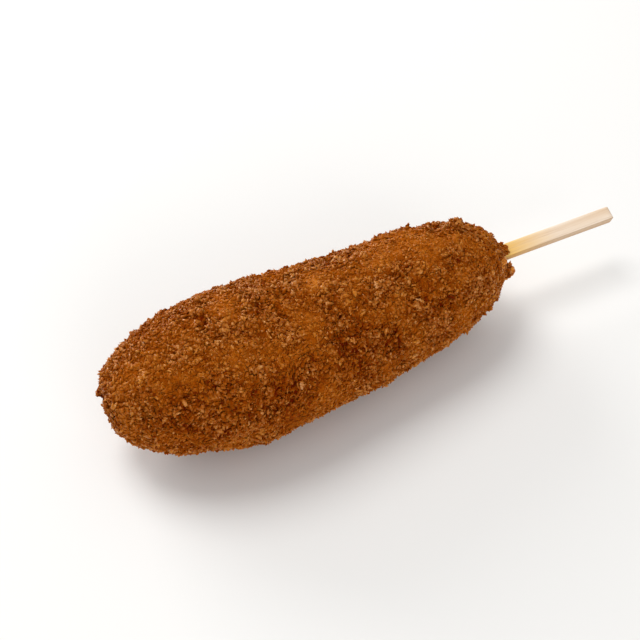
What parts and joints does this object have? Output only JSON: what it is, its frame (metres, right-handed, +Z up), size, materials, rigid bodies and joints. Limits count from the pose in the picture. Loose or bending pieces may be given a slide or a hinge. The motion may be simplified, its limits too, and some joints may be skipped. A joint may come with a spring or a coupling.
{
  "type": "corn dog",
  "caption": "Fat deep-fried sausage snack in a rough browned breadcrumb coat, held on a plain wooden stick and lying on its side.",
  "frame": {"origin": "centre of the footprint's box, on the surface that the corn dog lies on", "axes": "+X along the length, from the blunt tip towards the free end of the stick, +Z up"},
  "size_m": [0.186, 0.0508, 0.0489],
  "materials": {
    "fried_crumb": "fried breadcrumb, golden brown with darker and paler bits, rough, faint oily gleam",
    "pale_wood": "bare pale wood with fine lengthwise grain, stained yellow by oil near the coat"
  },
  "bodies": {
    "root": {"crumb_coat": "fried_crumb", "stick": "pale_wood"}
  },
  "joints": []
}
